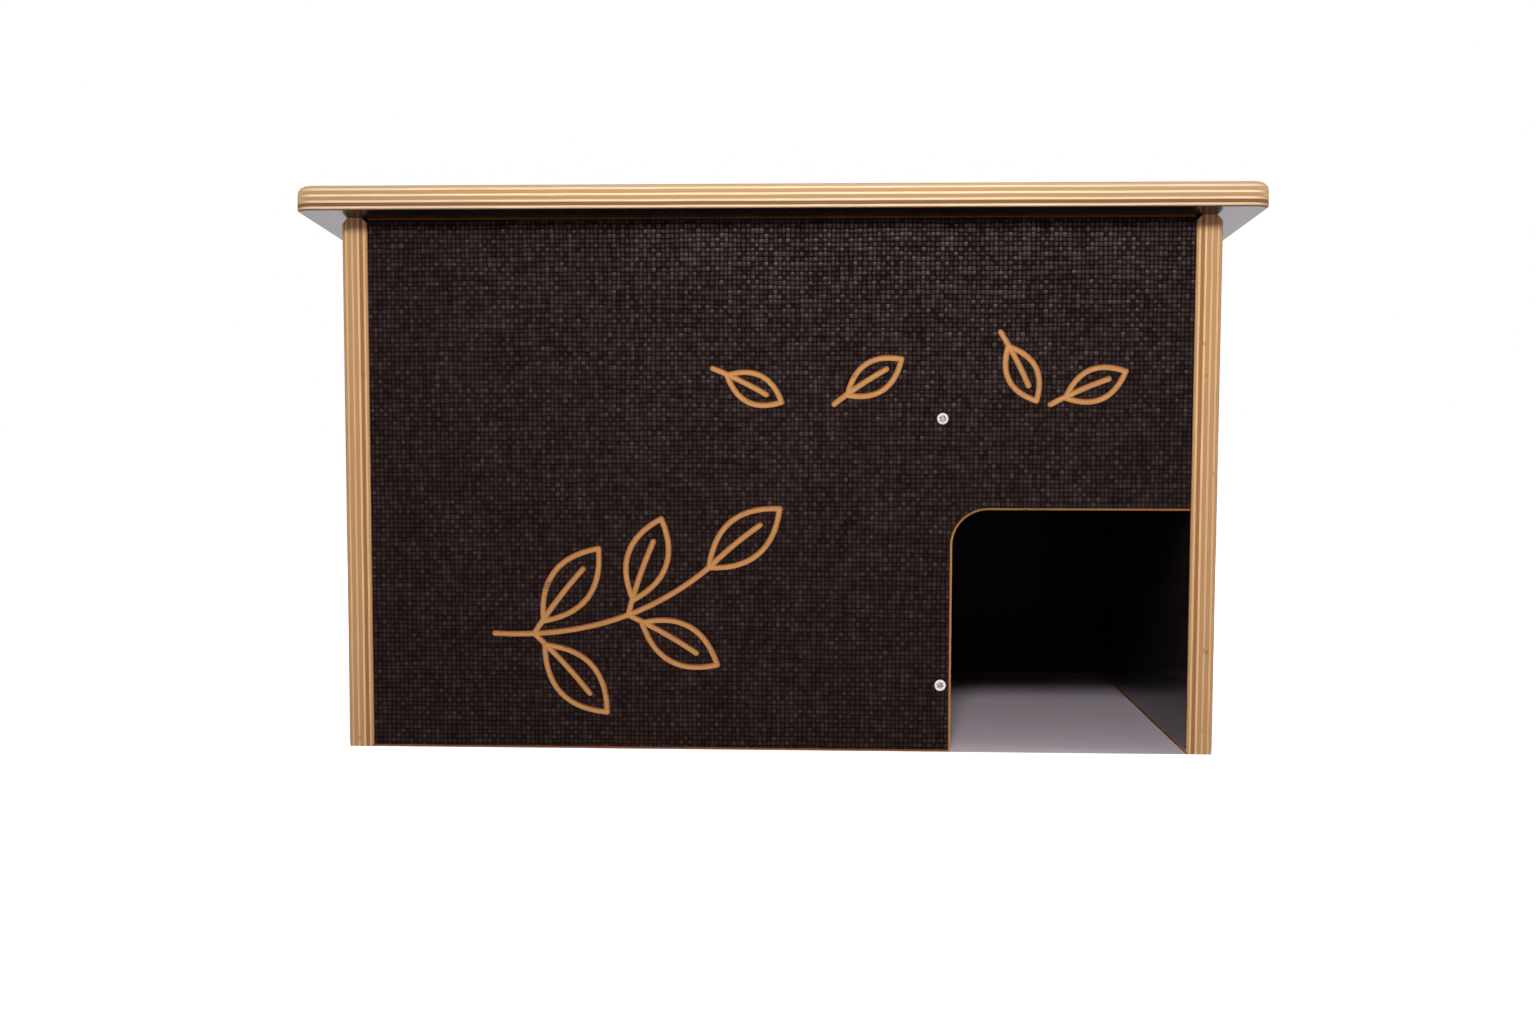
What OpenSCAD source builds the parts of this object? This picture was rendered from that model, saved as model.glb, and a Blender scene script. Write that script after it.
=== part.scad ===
// Hedgehog house of film-faced plywood: a bottomless box with a labyrinth divider
// and a pent roof that swings up on two butt hinges at the back.
// Frame: origin on the ground under the middle of the four walls, +Z up,
// the front with the entrance faces -Y, the right side is +X. Millimetres.

/* [House] */
// Width over the two side panels
house_w = 490; // [420:1:640]
// Depth over the front and back panels
house_d = 320; // [280:1:450]
// Height of the side panels at the front
front_h = 300; // [270:1:380]
// Height of the side panels at the back
back_h = 275; // [250:1:360]
// Thickness of the outer boards
board_t = 15; // [12:0.5:21]

/* [Entrance] */
// Width of the entrance, measured from the right side panel
entrance_w = 131.5; // [110:0.5:160]
// Height of the entrance
entrance_h = 137; // [110:1:160]
// Radius of the upper corner of the entrance and of the inner doorway
door_corner_r = 20; // [8:1:40]

/* [Divider] */
// Thickness of the divider board
divider_t = 12; // [9:0.5:18]
// Width of the inner doorway, measured from the back panel
doorway_w = 130; // [110:1:160]
// Height of the inner doorway
doorway_h = 137; // [110:1:160]
// Gap from the divider up to the walls' upper edges
divider_gap = 3; // [1:0.5:10]

/* [Roof] */
// Thickness of the roof board
roof_t = 14; // [12:0.5:21]
// Overhang of the roof on each side
side_overhang = 20; // [10:0.5:60]
// Overhang of the roof at the front
front_overhang = 25; // [15:0.5:80]
// Overhang of the roof at the back, which also carries the hinges
back_overhang = 25; // [25:0.5:60]
// Radius of the roof's corners, seen from above
roof_corner_r = 9.5; // [6:0.5:30]
// Radius of the roof's upper edge
roof_top_r = 4.5; // [1:0.5:5.5]
// Radius of the roof's lower edge
roof_under_r = 1.5; // [0.5:0.25:4]

/* [Eased edges] */
// Radius of the outer edges of the side panels
outer_edge_r = 3; // [0.5:0.25:5]
// Radius of the inner edges of the side panels
inner_edge_r = 1; // [0.5:0.25:4]
// Chamfer on the edges of the other boards and of the doorways
chamfer = 1.5; // [0.5:0.25:3]
// Chamfer on the upper edges of the side panels
top_chamfer = 3.5; // [1:0.25:5]

/* [Hinges] */
// Length of a hinge
hinge_l = 60; // [40:1:90]
// Width of one leaf, from the pin to its free edge
leaf_w = 18; // [15:0.5:20]
// Thickness of the leaf sheet
leaf_t = 1.5; // [1.4:0.1:2]
// Corner radius of a leaf
leaf_corner_r = 4; // [1:0.5:6]
// Diameter of the hinge pin
pin_d = 3; // [2:0.25:4]
// Diameter of the riveted pin heads
pin_head_d = 5; // [4.5:0.1:5.8]
// Length of a pin head
pin_head_l = 1.2; // [0.5:0.1:2]
// Knuckles on one hinge
knuckles = 5; // [3:2:7]
// Distance from the side of the house to the middle of a hinge
hinge_inset = 110; // [60:1:150]
// Distance of the leaf screws from the pin
leaf_screw_from_pin = 11; // [9:0.5:11.5]
// Distance of the outer leaf screws from the ends of a leaf
leaf_screw_edge = 10; // [6:0.5:12]

/* [Screws] */
// Shank diameter of the board screws
screw_d = 3.5; // [3:0.1:5]
// Head diameter of the board screws
screw_head_d = 6.5; // [6:0.1:9]
// Length of the board screws
screw_l = 40; // [30:1:60]
// Shank diameter of the hinge screws
leaf_screw_d = 3; // [2.5:0.1:3.2]
// Head diameter of the hinge screws
leaf_screw_head_d = 5.2; // [4.6:0.1:5.4]
// Length of the hinge screws
leaf_screw_l = 12; // [8:0.5:12.5]
// Height of the straight rim of a screw head
screw_rim = 0.15; // [0.05:0.05:0.4]
// Height of the lower divider screw in the front panel
divider_screw_low = 38; // [20:1:60]
// Height of the upper divider screw in the front panel
divider_screw_high = 188; // [150:1:230]
// Distance of the outermost screws from the top and bottom of a board
screw_edge = 38; // [25:1:45]
// Distance of a screw from the top of a doorway
screw_over_door = 20; // [12:1:30]

/* [Clearances] */
// Radial play of a hinge pin in its knuckles
pin_play = 0.05; // [0.02:0.01:0.1]
// Gap between two knuckles
knuckle_gap = 0.3; // [0.2:0.05:0.6]
// Gap between a knuckle and the other leaf or board
knuckle_clear = 0.4; // [0.3:0.05:0.6]
// Gap between the closed roof and the walls
roof_seat = 0.05; // [0.02:0.01:0.2]
// Radial play of a screw in its hole
screw_play = 0.05; // [0.02:0.01:0.1]
// Depth of a screw head below the board's face
screw_sink = 0.2; // [0.1:0.05:0.5]

/* [Hidden] */
$fn = 64;
// Extra length of a cutting tool past the face that it cuts
past = 1;

slope = atan((front_h - back_h) / house_d);
side_x = house_w / 2;
inner_x = side_x - board_t;
front_y = -house_d / 2;
back_y = house_d / 2;
front_inner_y = front_y + board_t;
back_inner_y = back_y - board_t;

entrance_x = inner_x - entrance_w;
divider_x = entrance_x - divider_t / 2;
doorway_y = back_inner_y - doorway_w;

roof_w = house_w + 2 * side_overhang;
roof_d = (front_overhang + house_d + back_overhang) / cos(slope);
roof_front_y = front_y - front_overhang;

bore_r = pin_d / 2 + pin_play;
knuckle_r = bore_r + leaf_t;
pin_off = knuckle_r + knuckle_clear;
pin_y = back_y + pin_off;
pin_z = roof_z(pin_y) - pin_off / cos(slope);
knuckle_pitch = (hinge_l + knuckle_gap) / knuckles;
hinge_x = side_x - hinge_inset;

back_rows = [screw_edge, back_h / 2, back_h - screw_edge];
front_rows_left = [screw_edge, front_h / 2, front_h - screw_edge];
front_rows_right = [entrance_h + screw_over_door, front_h - screw_edge];
divider_back_rows = [doorway_h + screw_over_door, back_h - screw_edge];
leaf_screw_x = hinge_l / 2 - leaf_screw_edge;
leaf_screw_xs = [-leaf_screw_x, 0, leaf_screw_x];

film_brown = [0.16, 0.13, 0.12];
steel_grey = [0.72, 0.72, 0.70];

// Height of the walls' sloped upper edges at a place in the depth of the house
function wall_z(y) = front_h - (y - front_y) * tan(slope);

// Height of the roof's underside at a place in the depth of the house
function roof_z(y) = wall_z(y) + roof_seat / cos(slope);

// Outlines and tools

// Rectangle whose corners are rounded, each with its own radius,
// counted from the origin against the clock
module eased_rect(w, h, r) {
    polygon([
        [r[0], 0], [w - r[1], 0], [w, r[1]], [w, h - r[2]],
        [w - r[2], h], [r[3], h], [0, h - r[3]], [0, r[0]]
    ]);
    translate([r[0], r[0]]) circle(r[0]);
    translate([w - r[1], r[1]]) circle(r[1]);
    translate([w - r[2], h - r[2]]) circle(r[2]);
    translate([r[3], h - r[3]]) circle(r[3]);
}

// Puts what is drawn in X and Y upright, so that it is pushed along +X from the YZ plane
module along_x(l) {
    rotate([90, 0, 90]) linear_extrude(l) children();
}

// Places children on the slope of the roof's underside, from a point in the depth of the house
module on_slope(y, z) {
    translate([0, y, z]) rotate([-slope, 0, 0]) children();
}

// Upright cross section of a front or back board: sloped top and chamfered outer edges,
// with the outer face at the smaller y if out is -1 and at the larger y if it is 1
module wall_section(y0, y1, out) {
    y_out = out < 0 ? y0 : y1;
    y_in = out < 0 ? y1 : y0;
    top = wall_z(y_out);
    polygon([
        [y_in, 0], [y_out - out * chamfer, 0], [y_out, chamfer],
        [y_out, top - chamfer], [y_out - out * chamfer, wall_z(y_out - out * chamfer)],
        [y_in, wall_z(y_in)]
    ]);
}

// Cross section of a doorway's void at its edge, with the edge at u = 0, the void on the side of -u,
// and a chamfer on both faces of a board that lies from v = 0 to t
module doorway_edge(t) {
    flare = chamfer + past;
    polygon([
        [-door_corner_r, -past], [flare, -past], [0, chamfer],
        [0, t - chamfer], [flare, t + past], [-door_corner_r, t + past]
    ]);
}

// Void of a doorway that is open at the bottom and at its far side, with one round upper corner.
// It starts at the origin, runs along +X, and goes through a board that lies from z = 0 to t.
module doorway_void(w, h, t) {
    r = door_corner_r;
    translate([0, -past, 0]) mirror([1, 0, 0]) rotate([90, 0, 0]) mirror([0, 0, 1])
        linear_extrude(h - r + past) doorway_edge(t);
    translate([r, h, 0]) rotate([90, 0, 90]) linear_extrude(w - r + past) doorway_edge(t);
    translate([r, h - r, 0]) rotate([0, 0, 90]) rotate_extrude(angle = 90)
        translate([r, 0]) doorway_edge(t);
    translate([r / 2, -past, -past]) cube([w - r / 2 + past, h - r / 2 + past, t + 2 * past]);
}

// Countersunk screw along +Z below the face at z = 0, or its hole, which is open towards the head
module screw(d, head_d, l, hole) {
    play = hole ? screw_play : 0;
    r = d / 2 + play;
    head_r = head_d / 2 + play;
    head_z = hole ? -past : screw_sink;
    rim_z = screw_sink + screw_rim;
    rotate_extrude() polygon([
        [0, head_z], [head_r, head_z], [head_r, rim_z], [r, rim_z + head_r - r],
        [r, screw_sink + l - d], [0, screw_sink + l + play]
    ]);
}

// One board screw, or its hole, from the face at z = 0
module board_screw(hole) {
    screw(screw_d, screw_head_d, screw_l, hole);
}

// One hinge screw, or its hole, from the leaf's free face at z = 0
module leaf_screw(hole) {
    screw(leaf_screw_d, leaf_screw_head_d, leaf_screw_l, hole);
}

// Rows of screws

// Screws from a side panel into the front or back panel; side is -1 on the left and 1 on the right
module side_row(side, y, rows, hole) {
    color(steel_grey) for (z = rows)
        translate([side * side_x, y, z]) rotate([0, -side * 90, 0]) board_screw(hole);
}

module left_front_screws(hole = false) {
    side_row(-1, front_y + board_t / 2, front_rows_left, hole);
}

module left_back_screws(hole = false) {
    side_row(-1, back_y - board_t / 2, back_rows, hole);
}

module right_front_screws(hole = false) {
    side_row(1, front_y + board_t / 2, front_rows_right, hole);
}

module right_back_screws(hole = false) {
    side_row(1, back_y - board_t / 2, back_rows, hole);
}

module divider_front_screws(hole = false) {
    color(steel_grey) for (z = [divider_screw_low, divider_screw_high])
        translate([divider_x, front_y, z]) rotate([-90, 0, 0]) board_screw(hole);
}

module divider_back_screws(hole = false) {
    color(steel_grey) for (z = divider_back_rows)
        translate([divider_x, back_y, z]) rotate([90, 0, 0]) board_screw(hole);
}

// Screws through the wall leaf of one hinge
module leaf_wall_row(side, hole = false) {
    color(steel_grey) for (x = leaf_screw_xs)
        translate([side * hinge_x + x, back_y + leaf_t, pin_z - leaf_screw_from_pin])
            rotate([90, 0, 0]) leaf_screw(hole);
}

// Screws through the roof leaf of one hinge
module leaf_roof_row(side, hole = false) {
    color(steel_grey) on_slope(pin_y, pin_z) for (x = leaf_screw_xs)
        translate([side * hinge_x + x, leaf_screw_from_pin, pin_off - leaf_t]) leaf_screw(hole);
}

// Boards

module front_panel() {
    color(film_brown) difference() {
        translate([-inner_x, 0, 0]) along_x(2 * inner_x) wall_section(front_y, front_inner_y, -1);
        translate([entrance_x, front_inner_y, 0]) rotate([90, 0, 0])
            doorway_void(entrance_w, entrance_h, board_t);
        divider_front_screws(hole = true);
        left_front_screws(hole = true);
        right_front_screws(hole = true);
    }
}

module back_panel() {
    color(film_brown) difference() {
        translate([-inner_x, 0, 0]) along_x(2 * inner_x) wall_section(back_inner_y, back_y, 1);
        divider_back_screws(hole = true);
        left_back_screws(hole = true);
        right_back_screws(hole = true);
        leaf_wall_row(-1, hole = true);
        leaf_wall_row(1, hole = true);
    }
}

// Tool for a chamfer of size c on an edge along Y at the origin, on a board that lies towards -X and +Z
module edge_cut(c) {
    rotate([90, 0, 0]) linear_extrude(2 * house_d, center = true)
        polygon([[-c - past, -past], [past, c + past], [past, -past]]);
}

// Right side panel without its screw holes: the upright edges are rounded, more on the outer face,
// and the lower and upper edges are chamfered
module side_board() {
    tall = max(front_h, back_h) + past;
    difference() {
        translate([inner_x, front_y, 0]) linear_extrude(tall)
            eased_rect(board_t, house_d, [inner_edge_r, outer_edge_r, outer_edge_r, inner_edge_r]);
        on_slope(0, wall_z(0)) translate([0, -house_d, 0]) cube([house_w, 2 * house_d, tall]);
        for (outer = [0, 1])
            translate([outer ? side_x : inner_x, 0, 0]) mirror([1 - outer, 0, 0]) {
                edge_cut(chamfer);
                on_slope(0, wall_z(0)) mirror([0, 0, 1]) edge_cut(top_chamfer);
            }
    }
}

module left_side_panel() {
    color(film_brown) difference() {
        mirror([1, 0, 0]) side_board();
        left_front_screws(hole = true);
        left_back_screws(hole = true);
    }
}

module right_side_panel() {
    color(film_brown) difference() {
        side_board();
        right_front_screws(hole = true);
        right_back_screws(hole = true);
    }
}

module divider_panel() {
    color(film_brown) difference() {
        translate([divider_x - divider_t / 2, 0, 0]) along_x(divider_t) polygon([
            [front_inner_y, 0], [back_inner_y, 0],
            [back_inner_y, wall_z(back_inner_y) - divider_gap],
            [front_inner_y, wall_z(front_inner_y) - divider_gap]
        ]);
        translate([divider_x - divider_t / 2, doorway_y, 0]) rotate([90, 0, 90])
            doorway_void(doorway_w, doorway_h, divider_t);
        divider_front_screws(hole = true);
        divider_back_screws(hole = true);
    }
}

// Cross section of the roof board over a width or depth, with its edges rounded
module roof_section(w) {
    eased_rect(w, roof_t, [roof_under_r, roof_under_r, roof_top_r, roof_top_r]);
}

// Roof board with its lower front edge on the X axis: straight edges pushed along both ways,
// and a turned quarter in each corner
module roof_board() {
    r = roof_corner_r;
    translate([-roof_w / 2 + r, 0, 0]) along_x(roof_w - 2 * r) roof_section(roof_d);
    translate([-roof_w / 2, roof_d - r, 0]) rotate([90, 0, 0])
        linear_extrude(roof_d - 2 * r) roof_section(roof_w);
    for (side = [-1, 1])
        for (end = [0, 1])
            translate([side * (roof_w / 2 - r), end ? roof_d - r : r, 0])
                rotate([0, 0, side > 0 ? (end ? 0 : -90) : (end ? 90 : 180)])
                    rotate_extrude(angle = 90) intersection() {
                        translate([r - roof_w, 0]) roof_section(roof_w);
                        square([2 * r, 2 * roof_t]);
                    }
}

module roof_panel() {
    color(film_brown) difference() {
        on_slope(roof_front_y, roof_z(roof_front_y)) roof_board();
        leaf_roof_row(-1, hole = true);
        leaf_roof_row(1, hole = true);
    }
}

// Hinges

// Outline of a leaf's sheet past the knuckles, with two rounded corners at its free edge
module leaf_outline() {
    l = leaf_w - pin_off;
    square([hinge_l, l - leaf_corner_r]);
    translate([leaf_corner_r, 0]) square([hinge_l - 2 * leaf_corner_r, l]);
    for (x = [leaf_corner_r, hinge_l - leaf_corner_r])
        translate([x, l - leaf_corner_r]) circle(leaf_corner_r);
}

// One knuckle round the pin, with the strip of sheet that joins it to its leaf
module knuckle(l) {
    rotate([0, 90, 0]) cylinder(r = knuckle_r, h = l);
    translate([0, knuckle_clear, pin_off - leaf_t]) cube([l, pin_off - knuckle_clear + past, leaf_t]);
}

// One leaf with every second knuckle from first; the sheet lies along +Y, under the board at z = pin_off
module leaf(first) {
    difference() {
        translate([-hinge_l / 2, 0, 0]) {
            translate([0, pin_off, pin_off - leaf_t]) linear_extrude(leaf_t) leaf_outline();
            for (i = [first : 2 : knuckles - 1])
                translate([i * knuckle_pitch, 0, 0]) knuckle(knuckle_pitch - knuckle_gap);
        }
        translate([-hinge_l / 2 - past, 0, 0]) rotate([0, 90, 0])
            cylinder(r = bore_r, h = hinge_l + 2 * past);
    }
}

module wall_leaf(side) {
    color(steel_grey) difference() {
        translate([side * hinge_x, pin_y, pin_z]) rotate([90, 0, 0]) mirror([0, 1, 0]) leaf(0);
        leaf_wall_row(side, hole = true);
    }
}

module roof_leaf(side) {
    color(steel_grey) difference() {
        on_slope(pin_y, pin_z) translate([side * hinge_x, 0, 0]) leaf(1);
        leaf_roof_row(side, hole = true);
    }
}

module hinge_pin(side) {
    color(steel_grey) translate([side * hinge_x - hinge_l / 2, pin_y, pin_z]) rotate([0, 90, 0]) {
        cylinder(d = pin_d, h = hinge_l);
        translate([0, 0, -pin_head_l]) cylinder(d = pin_head_d, h = pin_head_l);
        translate([0, 0, hinge_l]) cylinder(d = pin_head_d, h = pin_head_l);
    }
}

module left_hinge_wall_leaf() { wall_leaf(-1); }
module left_hinge_roof_leaf() { roof_leaf(-1); }
module left_hinge_pin() { hinge_pin(-1); }
module left_hinge_wall_screws() { leaf_wall_row(-1); }
module left_hinge_roof_screws() { leaf_roof_row(-1); }

module right_hinge_wall_leaf() { wall_leaf(1); }
module right_hinge_roof_leaf() { roof_leaf(1); }
module right_hinge_pin() { hinge_pin(1); }
module right_hinge_wall_screws() { leaf_wall_row(1); }
module right_hinge_roof_screws() { leaf_roof_row(1); }

front_panel();
back_panel();
left_side_panel();
right_side_panel();
divider_panel();
roof_panel();
divider_front_screws();
divider_back_screws();
left_front_screws();
left_back_screws();
right_front_screws();
right_back_screws();
left_hinge_wall_leaf();
left_hinge_roof_leaf();
left_hinge_pin();
left_hinge_wall_screws();
left_hinge_roof_screws();
right_hinge_wall_leaf();
right_hinge_roof_leaf();
right_hinge_pin();
right_hinge_wall_screws();
right_hinge_roof_screws();
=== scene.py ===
"""Looks of a hedgehog house: film-faced plywood boards, routed leaves, steel screws and hinges."""

import logging
import math
from dataclasses import dataclass
from enum import Enum
from typing import Any, Iterator, Mapping, Sequence, Union

import bmesh
import bpy
from mathutils import Matrix, Vector


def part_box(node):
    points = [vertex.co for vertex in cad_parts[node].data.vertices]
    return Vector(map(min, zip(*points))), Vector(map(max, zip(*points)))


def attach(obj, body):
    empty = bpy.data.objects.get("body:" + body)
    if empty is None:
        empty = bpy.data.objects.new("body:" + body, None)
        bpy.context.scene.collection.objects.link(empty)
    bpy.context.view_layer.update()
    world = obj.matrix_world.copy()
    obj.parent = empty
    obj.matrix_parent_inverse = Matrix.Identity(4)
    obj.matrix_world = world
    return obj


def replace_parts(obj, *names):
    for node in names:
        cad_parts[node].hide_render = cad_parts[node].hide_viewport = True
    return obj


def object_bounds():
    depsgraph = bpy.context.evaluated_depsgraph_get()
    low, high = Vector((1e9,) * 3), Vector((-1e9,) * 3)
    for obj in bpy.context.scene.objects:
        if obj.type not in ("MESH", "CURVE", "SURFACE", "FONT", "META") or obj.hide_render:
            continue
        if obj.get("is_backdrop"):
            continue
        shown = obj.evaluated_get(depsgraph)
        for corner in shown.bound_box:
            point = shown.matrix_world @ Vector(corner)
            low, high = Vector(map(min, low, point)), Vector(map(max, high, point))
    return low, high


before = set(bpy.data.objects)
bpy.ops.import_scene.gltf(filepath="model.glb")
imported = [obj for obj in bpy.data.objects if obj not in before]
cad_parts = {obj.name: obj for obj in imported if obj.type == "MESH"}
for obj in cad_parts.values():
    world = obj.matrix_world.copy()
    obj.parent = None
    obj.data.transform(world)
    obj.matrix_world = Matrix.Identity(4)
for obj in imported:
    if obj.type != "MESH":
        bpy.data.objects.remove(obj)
CAD_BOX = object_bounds()

LOG = logging.getLogger("hedgehog_house")
MM = 0.001
WELD = 0.001 * MM
RIGHT = Vector((1, 0, 0))
BACK = Vector((0, 1, 0))
UP = Vector((0, 0, 1))

Colour = tuple[float, float, float]
Flat = tuple[float, float]
Span = tuple[float, float]
Point = tuple[float, float, float]
Operand = Union["Socket", float]


class Socket:
    """An output of a shader graph, whose operators add Math nodes to that graph."""

    def __init__(self, graph: "Graph", output: bpy.types.NodeSocket | None) -> None:
        """Wraps an output of a graph; a node that ends the graph has none."""
        self.graph = graph
        self.output = output

    def __add__(self, other: Operand) -> "Socket":
        """The sum of two values."""
        return self.graph.math("ADD", self, other)

    def __radd__(self, other: float) -> "Socket":
        """The sum of a number and this value."""
        return self.graph.math("ADD", other, self)

    def __sub__(self, other: Operand) -> "Socket":
        """The difference of two values."""
        return self.graph.math("SUBTRACT", self, other)

    def __rsub__(self, other: float) -> "Socket":
        """A number less this value."""
        return self.graph.math("SUBTRACT", other, self)

    def __mul__(self, other: Operand) -> "Socket":
        """The product of two values."""
        return self.graph.math("MULTIPLY", self, other)

    def __rmul__(self, other: float) -> "Socket":
        """The product of a number and this value."""
        return self.graph.math("MULTIPLY", other, self)

    def __truediv__(self, other: Operand) -> "Socket":
        """The quotient of two values."""
        return self.graph.math("DIVIDE", self, other)

    def __rtruediv__(self, other: float) -> "Socket":
        """A number divided by this value."""
        return self.graph.math("DIVIDE", other, self)

    def __mod__(self, other: Operand) -> "Socket":
        """What is left of this value after division, never below zero."""
        return self.graph.math("FLOORED_MODULO", self, other)

    def __rmod__(self, other: float) -> "Socket":
        """What is left of a number after division by this value."""
        return self.graph.math("FLOORED_MODULO", other, self)

    def __lt__(self, other: Operand) -> "Socket":
        """1 where this value is below the other, and 0 elsewhere."""
        return self.graph.math("LESS_THAN", self, other)

    def __gt__(self, other: Operand) -> "Socket":
        """1 where this value is above the other, and 0 elsewhere."""
        return self.graph.math("GREATER_THAN", self, other)

    def floor(self) -> "Socket":
        """The whole number below this value."""
        return self.graph.math("FLOOR", self)

    def fraction(self) -> "Socket":
        """What this value has above its whole number."""
        return self.graph.math("FRACT", self)

    def cosine(self) -> "Socket":
        """The cosine of this value in radians."""
        return self.graph.math("COSINE", self)

    def magnitude(self) -> "Socket":
        """This value without its sign."""
        return self.graph.math("ABSOLUTE", self)

    def root(self) -> "Socket":
        """The square root of this value."""
        return self.graph.math("SQRT", self)

    def largest(self, other: Operand) -> "Socket":
        """The larger of two values."""
        return self.graph.math("MAXIMUM", self, other)

    def least(self, other: Operand) -> "Socket":
        """The smaller of two values."""
        return self.graph.math("MINIMUM", self, other)

    def step(self, low: float, high: float) -> "Socket":
        """A smooth rise from 0 at low to 1 at high."""
        return self.graph.node(
            "ShaderNodeMapRange",
            {"interpolation_type": "SMOOTHSTEP"},
            {"Value": self, "From Min": low, "From Max": high},
        )


class Sheet(Enum):
    """Third coordinates, which keep flat noises of one material apart."""

    FIRST = 0.0
    WIPES = 3.0
    CLOUDS = 7.0
    UPRIGHT_YARN = 11.0
    LEVEL_YARN = 23.0
    DRIFT = 40.0


class Graph:
    """A shader graph that is built node by node."""

    def __init__(self, tree: bpy.types.ShaderNodeTree) -> None:
        """Empties a node tree and takes it over."""
        self.tree = tree
        self.tree.nodes.clear()

    @classmethod
    def of_material(cls, name: str) -> tuple["Graph", bpy.types.Material]:
        """Starts the graph of a new material.

        Args:
            name: Name of the material.

        Returns:
            The empty graph and the material that it belongs to.
        """
        material = bpy.data.materials.new(name)
        material.use_nodes = True
        return cls(material.node_tree), material

    def node(
        self,
        kind: str,
        settings: Mapping[str, Any] | None = None,
        inputs: Mapping[str | int, Any] | None = None,
        output: str | int = 0,
    ) -> Socket:
        """Adds a node.

        Args:
            kind: Blender's name of the node type.
            settings: Properties of the node, which are set before its sockets.
            inputs: Values or links of the node's sockets, by name or place.
            output: Name or place of the output that is wanted.

        Returns:
            The wanted output.
        """
        made = self.tree.nodes.new(kind)
        for name, value in (settings or {}).items():
            setattr(made, name, value)
        for name, value in (inputs or {}).items():
            if isinstance(value, Socket):
                self.tree.links.new(value.output, made.inputs[name])
            else:
                made.inputs[name].default_value = value
        return Socket(self, made.outputs[output] if made.outputs else None)

    def math(self, operation: str, *operands: Operand) -> Socket:
        """Adds a Math node for an operation on its operands."""
        return self.node("ShaderNodeMath", {"operation": operation}, dict(enumerate(operands)))

    def mix(self, share: Operand, first: Socket | Colour, second: Socket | Colour) -> Socket:
        """Blends two colours.

        Args:
            share: How much of the second colour is seen, from 0 to 1.
            first: Colour at share 0.
            second: Colour at share 1.

        Returns:
            The blended colour.
        """
        ends = {6: first, 7: second}
        colours = {k: v if isinstance(v, Socket) else (*v, 1.0) for k, v in ends.items()}
        return self.node("ShaderNodeMix", {"data_type": "RGBA"}, {0: share, **colours}, 2)

    def blend(self, share: Operand, first: Operand, second: Operand) -> Socket:
        """Blends two values, from the first at share 0 to the second at share 1."""
        return self.node("ShaderNodeMix", {"data_type": "FLOAT"}, {0: share, 2: first, 3: second})

    def scaled(self, vector: Socket, amount: Operand) -> Socket:
        """A vector or a colour whose three values are multiplied by an amount."""
        return self.node("ShaderNodeVectorMath", {"operation": "SCALE"}, {0: vector, "Scale": amount})

    def place(self) -> Socket:
        """The place on the part in the part's own frame, in millimetres."""
        return self.scaled(self.node("ShaderNodeTexCoord", output="Object"), 1 / MM)

    def normal(self) -> Socket:
        """The direction that the surface faces, in the part's own frame."""
        return self.node("ShaderNodeTexCoord", output="Normal")

    def along(self, vector: Socket, axis: Vector) -> Socket:
        """How far a vector reaches along an axis."""
        ends = {0: vector, 1: tuple(axis)}
        return self.node("ShaderNodeVectorMath", {"operation": "DOT_PRODUCT"}, ends, "Value")

    def length(self, vector: Socket) -> Socket:
        """The length of a vector."""
        return self.node("ShaderNodeVectorMath", {"operation": "LENGTH"}, {0: vector}, "Value")

    def joined(self, x: Operand, y: Operand, z: Operand) -> Socket:
        """A vector of three values."""
        return self.node("ShaderNodeCombineXYZ", inputs={0: x, 1: y, 2: z})

    def noise(self, where: Socket, scale: float = 1.0, detail: float = 2.0) -> Socket:
        """Cloudy noise from 0 to 1.

        Args:
            where: Place that the noise is read at.
            scale: Waves of the coarsest noise in one unit of the place.
            detail: Number of finer layers.

        Returns:
            The noise.
        """
        values = {"Vector": where, "Scale": scale, "Detail": detail}
        return self.node("ShaderNodeTexNoise", inputs=values)

    def flat_noise(
        self, x: Socket, y: Socket, sheet: Sheet, scale: float = 1.0, detail: float = 2.0
    ) -> Socket:
        """Cloudy noise from 0 to 1 on a plane.

        Args:
            x: Place across the plane.
            y: Place up the plane.
            sheet: Sheet of the noise that is read.
            scale: Waves of the coarsest noise in one unit of the place.
            detail: Number of finer layers.

        Returns:
            The noise.
        """
        return self.noise(self.joined(x, y, sheet.value), scale, detail)

    def speckle(self, x: Operand, y: Operand, z: Operand = 0.0) -> Socket:
        """A random value from 0 to 1 for each whole place."""
        return self.node("ShaderNodeTexWhiteNoise", inputs={"Vector": self.joined(x, y, z)})

    def bump(self, height: Socket, depth: float, strength: float = 1.0) -> Socket:
        """Surface relief.

        Args:
            height: Height from 0 to 1.
            depth: Height of the relief in millimetres.
            strength: Share of the relief that shows.

        Returns:
            The normal that the relief gives.
        """
        values = {"Height": height, "Distance": depth * MM, "Strength": strength}
        return self.node("ShaderNodeBump", inputs=values)

    def surface(self, values: Mapping[str, Any]) -> None:
        """Ends a material in one Principled shader with these values or links of its sockets."""
        shader = self.node("ShaderNodeBsdfPrincipled", inputs=values)
        self.node("ShaderNodeOutputMaterial", inputs={"Surface": shader})


@dataclass(frozen=True)
class Skin:
    """Colour, roughness and height of a surface in a shader graph."""

    colour: Socket
    roughness: Socket
    height: Socket

    def over(self, share: Socket, under: "Skin") -> "Skin":
        """Lays this skin over another.

        Args:
            share: 1 where this skin is seen, and 0 where the other is.
            under: The other skin.

        Returns:
            Both skins in one.
        """
        graph = share.graph
        return Skin(
            graph.mix(share, under.colour, self.colour),
            graph.blend(share, under.roughness, self.roughness),
            graph.blend(share, under.height, self.height),
        )


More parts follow.
